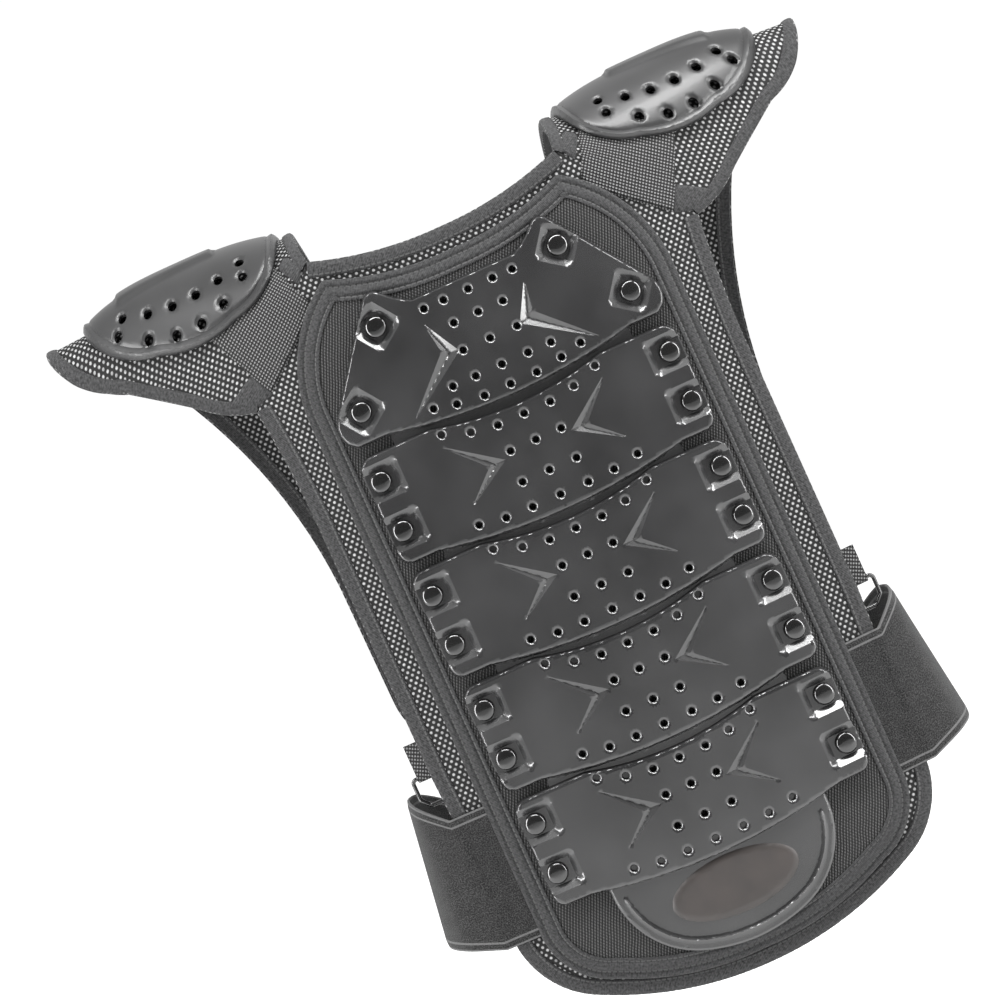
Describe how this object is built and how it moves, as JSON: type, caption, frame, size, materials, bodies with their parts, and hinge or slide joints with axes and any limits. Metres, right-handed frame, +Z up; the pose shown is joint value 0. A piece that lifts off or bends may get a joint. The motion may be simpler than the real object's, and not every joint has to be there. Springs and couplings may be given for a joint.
{
  "type": "back protector vest",
  "caption": "Body-armour vest with an articulated riveted spine guard, vented shoulder caps, a padded chest panel and elastic waist straps.",
  "frame": {"origin": "midway between the back and the chest, level with the shoulder seams, where the wearer's shoulders carry the vest", "axes": "+Z up, +Y the way the wearer faces, +X to the wearer's right"},
  "size_m": [0.479, 0.186, 0.5],
  "materials": {
    "spacer_mesh": "open hexagonal spacer mesh",
    "edge_tape": "soft folded binding tape",
    "foam": "closed-cell foam",
    "knit_cover": "fine ribbed knit",
    "moulded_plate": "satin moulded",
    "rivet_cap": "polished",
    "webbing": "ribbed elastic webbing",
    "badge": "matt",
    "strap_elastic": "brushed loop pile",
    "hook_tape": "moulded hooks",
    "ring_plastic": "polished"
  },
  "bodies": {
    "yoke": {"mesh_panel_1": "spacer_mesh", "edge_tapes_1": "edge_tape", "foam_core_1": "foam", "centre_cover_1": "knit_cover", "back_plate_1": "moulded_plate", "plate_rivets_1": "rivet_cap", "yoke_webbing": "webbing"},
    "back_2": {"mesh_panel_2": "spacer_mesh", "edge_tapes_2": "edge_tape", "foam_core_2": "foam", "centre_cover_2": "knit_cover", "back_plate_2": "moulded_plate", "plate_rivets_2": "rivet_cap"},
    "back_3": {"mesh_panel_3": "spacer_mesh", "edge_tapes_3": "edge_tape", "foam_core_3": "foam", "centre_cover_3": "knit_cover", "back_plate_3": "moulded_plate", "plate_rivets_3": "rivet_cap"},
    "back_4": {"mesh_panel_4": "spacer_mesh", "edge_tapes_4": "edge_tape", "foam_core_4": "foam", "centre_cover_4": "knit_cover", "back_plate_4": "moulded_plate", "plate_rivets_4": "rivet_cap", "right_ring_tab": "webbing", "left_ring_tab": "webbing"},
    "back_5": {"mesh_panel_5": "spacer_mesh", "edge_tapes_5": "edge_tape", "foam_core_5": "foam", "centre_cover_5": "knit_cover", "back_plate_5": "moulded_plate", "plate_rivets_5": "rivet_cap", "tail_plate": "moulded_plate", "tail_badge": "badge", "strap_anchors": "strap_elastic"},
    "right_wing": {"right_wing_mesh": "spacer_mesh", "right_wing_tape": "edge_tape", "right_shoulder_cap": "moulded_plate", "right_shoulder_foam": "foam", "right_wing_webbing": "webbing"},
    "left_wing": {"left_wing_mesh": "spacer_mesh", "left_wing_tape": "edge_tape", "left_shoulder_cap": "moulded_plate", "left_shoulder_foam": "foam", "left_wing_webbing": "webbing"},
    "chest": {"chest_mesh": "spacer_mesh", "chest_tape": "edge_tape", "chest_foam": "foam", "chest_cover": "knit_cover", "chest_plate_upper": "moulded_plate", "chest_plate_lower": "moulded_plate", "chest_rivets": "rivet_cap"},
    "right_strap": {"right_strap": "strap_elastic", "hook_patch": "hook_tape"},
    "left_strap": {"left_strap": "strap_elastic"},
    "right_ring": {"right_ring": "ring_plastic"},
    "left_ring": {"left_ring": "ring_plastic"}
  },
  "joints": [
    {"name": "spine_flex_1", "type": "hinge", "parent": "yoke", "child": "back_2", "pos_m": [0, -0.05, -0.1085], "axis": [1, 0, 0], "range_deg": [0, 6], "stiffness_Nm_per_rad": 8},
    {"name": "spine_flex_2", "type": "hinge", "parent": "back_2", "child": "back_3", "pos_m": [0, -0.05, -0.1785], "axis": [1, 0, 0], "range_deg": [0, 6], "stiffness_Nm_per_rad": 8},
    {"name": "spine_flex_3", "type": "hinge", "parent": "back_3", "child": "back_4", "pos_m": [0, -0.05, -0.2485], "axis": [1, 0, 0], "range_deg": [0, 6], "stiffness_Nm_per_rad": 8},
    {"name": "spine_flex_4", "type": "hinge", "parent": "back_4", "child": "back_5", "pos_m": [0, -0.05, -0.3185], "axis": [1, 0, 0], "range_deg": [0, 6], "stiffness_Nm_per_rad": 8},
    {"name": "right_shoulder_lift", "type": "hinge", "parent": "yoke", "child": "right_wing", "pos_m": [0.076, 0, 0.003], "axis": [0, -1, 0], "range_deg": [0, 15]},
    {"name": "left_shoulder_lift", "type": "hinge", "parent": "yoke", "child": "left_wing", "pos_m": [-0.076, 0, 0.003], "axis": [0, 1, 0], "range_deg": [0, 15]},
    {"name": "chest_panel_swing", "type": "hinge", "parent": "yoke", "child": "chest", "pos_m": [0, 0.072, -0.007], "axis": [1, 0, 0], "range_deg": [0, 20]},
    {"name": "right_strap_open", "type": "hinge", "parent": "back_5", "child": "right_strap", "pos_m": [0.133, -0.0605, -0.357], "axis": [0, 0, -1], "range_deg": [0, 100]},
    {"name": "left_strap_open", "type": "hinge", "parent": "back_5", "child": "left_strap", "pos_m": [-0.133, -0.0605, -0.357], "axis": [0, 0, 1], "range_deg": [0, 45]},
    {"name": "right_ring_swing", "type": "hinge", "parent": "back_4", "child": "right_ring", "pos_m": [0.134, -0.04818, -0.289], "axis": [0.9629, 0.2699, 0], "range_deg": [0, 30]},
    {"name": "left_ring_swing", "type": "hinge", "parent": "back_4", "child": "left_ring", "pos_m": [-0.134, -0.04818, -0.289], "axis": [0.9629, -0.2699, 0], "range_deg": [0, 30]}
  ],
  "couplings": [
    {"joint": "left_strap_open", "follows": "right_strap_open", "ratio": 0.45}
  ]
}
